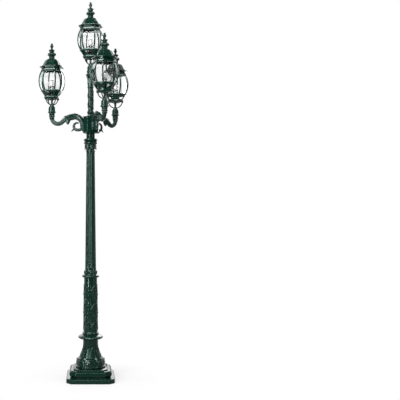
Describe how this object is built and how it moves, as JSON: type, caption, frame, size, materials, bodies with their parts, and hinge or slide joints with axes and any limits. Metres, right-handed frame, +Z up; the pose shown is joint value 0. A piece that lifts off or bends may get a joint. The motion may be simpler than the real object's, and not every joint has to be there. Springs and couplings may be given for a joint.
{
  "type": "multi-arm lamp post",
  "caption": "Cast lamp post with fluted shaft and scrolled arms carrying eight-sided glazed lanterns with lift-off roofs.",
  "frame": {"origin": "on the post's axis, in the plane of the plinth's foot", "axes": "+Z up along the post, +X to the right and -Y towards the viewer of the picture"},
  "size_m": [0.7321, 0.7578, 2.9986],
  "materials": {
    "green_enamel": "gloss",
    "clear_glass": "gloss",
    "bulb_glass": "gloss",
    "holder_black": "satin",
    "cap_metal": "satin",
    "galvanised_steel": "satin",
    "block_plastic": "satin"
  },
  "bodies": {
    "root": {"base_plinth": "green_enamel", "base_bell": "green_enamel", "base_ring": "green_enamel", "lower_shaft": "green_enamel", "shaft_ring": "green_enamel", "fluted_shaft": "green_enamel", "capital": "green_enamel", "neck_tube": "green_enamel", "core_tube": "galvanised_steel", "terminal_block": "block_plastic", "hub": "green_enamel", "left_arm": "green_enamel", "front_arm": "green_enamel", "rear_arm": "green_enamel", "arm_bolts": "green_enamel", "upper_post": "green_enamel", "top_collar": "green_enamel", "top_cradle": "green_enamel", "top_gallery": "green_enamel", "top_frame": "green_enamel", "top_panes": "clear_glass", "top_reflector": "green_enamel", "top_lampholder": "holder_black", "left_collar": "green_enamel", "left_cradle": "green_enamel", "left_gallery": "green_enamel", "left_frame": "green_enamel", "left_panes": "clear_glass", "left_reflector": "green_enamel", "left_lampholder": "holder_black", "front_collar": "green_enamel", "front_cradle": "green_enamel", "front_gallery": "green_enamel", "front_frame": "green_enamel", "front_panes": "clear_glass", "front_reflector": "green_enamel", "front_lampholder": "holder_black", "rear_collar": "green_enamel", "rear_cradle": "green_enamel", "rear_gallery": "green_enamel", "rear_frame": "green_enamel", "rear_panes": "clear_glass", "rear_reflector": "green_enamel", "rear_lampholder": "holder_black"},
    "top_roof": {"top_roof": "green_enamel"},
    "top_finial": {"top_finial": "green_enamel"},
    "top_bulb": {"top_bulb": "bulb_glass", "top_bulb_cap": "cap_metal"},
    "left_roof": {"left_roof": "green_enamel"},
    "left_finial": {"left_finial": "green_enamel"},
    "left_bulb": {"left_bulb": "bulb_glass", "left_bulb_cap": "cap_metal"},
    "front_roof": {"front_roof": "green_enamel"},
    "front_finial": {"front_finial": "green_enamel"},
    "front_bulb": {"front_bulb": "bulb_glass", "front_bulb_cap": "cap_metal"},
    "rear_roof": {"rear_roof": "green_enamel"},
    "rear_finial": {"rear_finial": "green_enamel"},
    "rear_bulb": {"rear_bulb": "bulb_glass", "rear_bulb_cap": "cap_metal"}
  },
  "joints": [
    {"name": "top_roof_lift", "type": "slide", "parent": "root", "child": "top_roof", "axis": [0, 0, 1], "range_m": [0, 0.25]},
    {"name": "top_finial_turn", "type": "hinge", "parent": "top_roof", "child": "top_finial", "pos_m": [0, 0, 2.872], "axis": [0, 0, 1], "continuous": true},
    {"name": "top_bulb_turn", "type": "hinge", "parent": "root", "child": "top_bulb", "pos_m": [0, 0, 2.582], "axis": [0, 0, 1], "continuous": true},
    {"name": "left_roof_lift", "type": "slide", "parent": "root", "child": "left_roof", "axis": [0, 0, 1], "range_m": [0, 0.25]},
    {"name": "left_finial_turn", "type": "hinge", "parent": "left_roof", "child": "left_finial", "pos_m": [-0.31071, 0.05759, 2.56], "axis": [0, 0, 1], "continuous": true},
    {"name": "left_bulb_turn", "type": "hinge", "parent": "root", "child": "left_bulb", "pos_m": [-0.31071, 0.05759, 2.27], "axis": [0, 0, 1], "continuous": true},
    {"name": "front_roof_lift", "type": "slide", "parent": "root", "child": "front_roof", "axis": [0, 0, 1], "range_m": [0, 0.25]},
    {"name": "front_finial_turn", "type": "hinge", "parent": "front_roof", "child": "front_finial", "pos_m": [0.10548, -0.29788, 2.56], "axis": [0, 0, 1], "continuous": true},
    {"name": "front_bulb_turn", "type": "hinge", "parent": "root", "child": "front_bulb", "pos_m": [0.10548, -0.29788, 2.27], "axis": [0, 0, 1], "continuous": true},
    {"name": "rear_roof_lift", "type": "slide", "parent": "root", "child": "rear_roof", "axis": [0, 0, 1], "range_m": [0, 0.25]},
    {"name": "rear_finial_turn", "type": "hinge", "parent": "rear_roof", "child": "rear_finial", "pos_m": [0.20523, 0.24029, 2.56], "axis": [0, 0, 1], "continuous": true},
    {"name": "rear_bulb_turn", "type": "hinge", "parent": "root", "child": "rear_bulb", "pos_m": [0.20523, 0.24029, 2.27], "axis": [0, 0, 1], "continuous": true}
  ]
}
